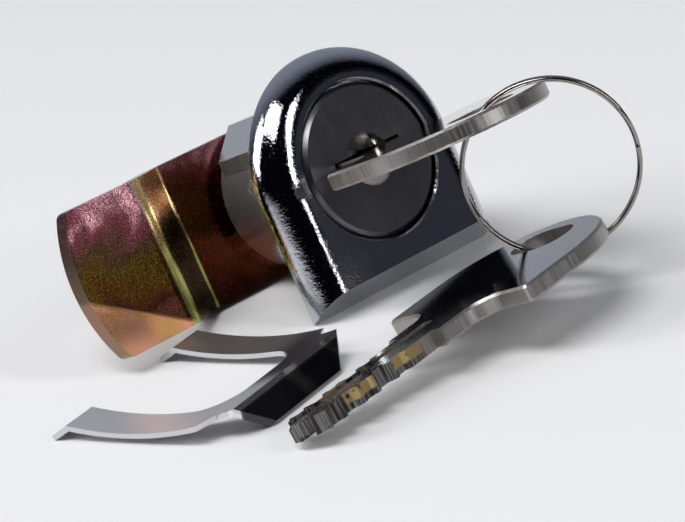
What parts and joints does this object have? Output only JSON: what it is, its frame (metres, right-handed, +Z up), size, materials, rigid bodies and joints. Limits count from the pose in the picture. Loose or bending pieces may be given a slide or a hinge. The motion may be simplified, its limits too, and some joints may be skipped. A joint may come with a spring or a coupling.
{
  "type": "cam lock",
  "caption": "Small wafer cam lock for a panel, with a cranked cam, two flat keys on a split ring and a spring clip that holds it in the panel.",
  "frame": {"origin": "on the lock's axis, at the back face of the head, where it seats against the panel", "axes": "+Z up from the table that the lock lies on; the lock's front faces -Y and leans back; +X to the right as seen from the front"},
  "size_m": [0.0532, 0.0526, 0.0236],
  "materials": {
    "housing_chrome": "bright chrome plate on die-cast zinc",
    "plug_face_satin": "dark satin steel, faint vertical brushing",
    "plug_metal": "dull plated zinc alloy",
    "wafer_brass": "stamped brass",
    "spring_bronze": "phosphor bronze wire",
    "zinc_washer": "bright zinc plated steel",
    "circlip_steel": "dark phosphated spring steel",
    "cam_yellow_zinc": "yellow zinc dichromate, iridescent gold and olive",
    "key_nickel": "nickel plated brass, brass showing in the cuts",
    "ring_steel": "bright nickel plated spring wire",
    "clip_steel": "bright spring steel sheet"
  },
  "bodies": {
    "housing": {"housing": "housing_chrome"},
    "plug": {"plug": "plug_metal", "plug_face": "plug_face_satin", "wafer_spring_1": "spring_bronze", "wafer_spring_2": "spring_bronze", "wafer_spring_3": "spring_bronze", "wafer_spring_4": "spring_bronze", "wafer_spring_5": "spring_bronze", "stop_washer": "zinc_washer", "cam": "cam_yellow_zinc", "cam_washer": "zinc_washer", "circlip": "circlip_steel"},
    "wafers": {"wafer_1": "wafer_brass", "wafer_2": "wafer_brass", "wafer_3": "wafer_brass", "wafer_4": "wafer_brass", "wafer_5": "wafer_brass"},
    "key_in_lock": {"key_in_lock": "key_nickel"},
    "split_ring": {"split_ring": "ring_steel"},
    "spare_key": {"spare_key": "key_nickel"},
    "retaining_clip": {"retaining_clip": "clip_steel"}
  },
  "joints": [
    {"name": "plug_turn", "type": "hinge", "parent": "housing", "child": "plug", "pos_m": [0, 0, 0], "axis": [0, 0.9516, -0.3075], "range_deg": [0, 90]},
    {"name": "key_slide", "type": "slide", "parent": "plug", "child": "key_in_lock", "axis": [0, -0.9516, 0.3075], "range_m": [0, 0.026]},
    {"name": "wafers_slide", "type": "slide", "parent": "plug", "child": "wafers", "axis": [1, 0, 0], "range_m": [0, 0.0006]},
    {"name": "ring_swing", "type": "hinge", "parent": "key_in_lock", "child": "split_ring", "pos_m": [-0.00064, -0.02054, 0.00664], "axis": [-0.6753, -0.7294, 0.109], "range_deg": [-1, 35]},
    {"name": "spare_key_swing", "type": "hinge", "parent": "split_ring", "child": "spare_key", "pos_m": [0.00087, -0.02397, -0.0069], "axis": [-0.106, 0.287, 0.952], "range_deg": [-4, 12]},
    {"name": "clip_lift", "type": "slide", "parent": "housing", "child": "retaining_clip", "axis": [0, -0.8, 0.6], "range_m": [0, 0.03]}
  ],
  "couplings": [
    {"joint": "wafers_slide", "follows": "key_slide", "ratio": 0.023077}
  ]
}
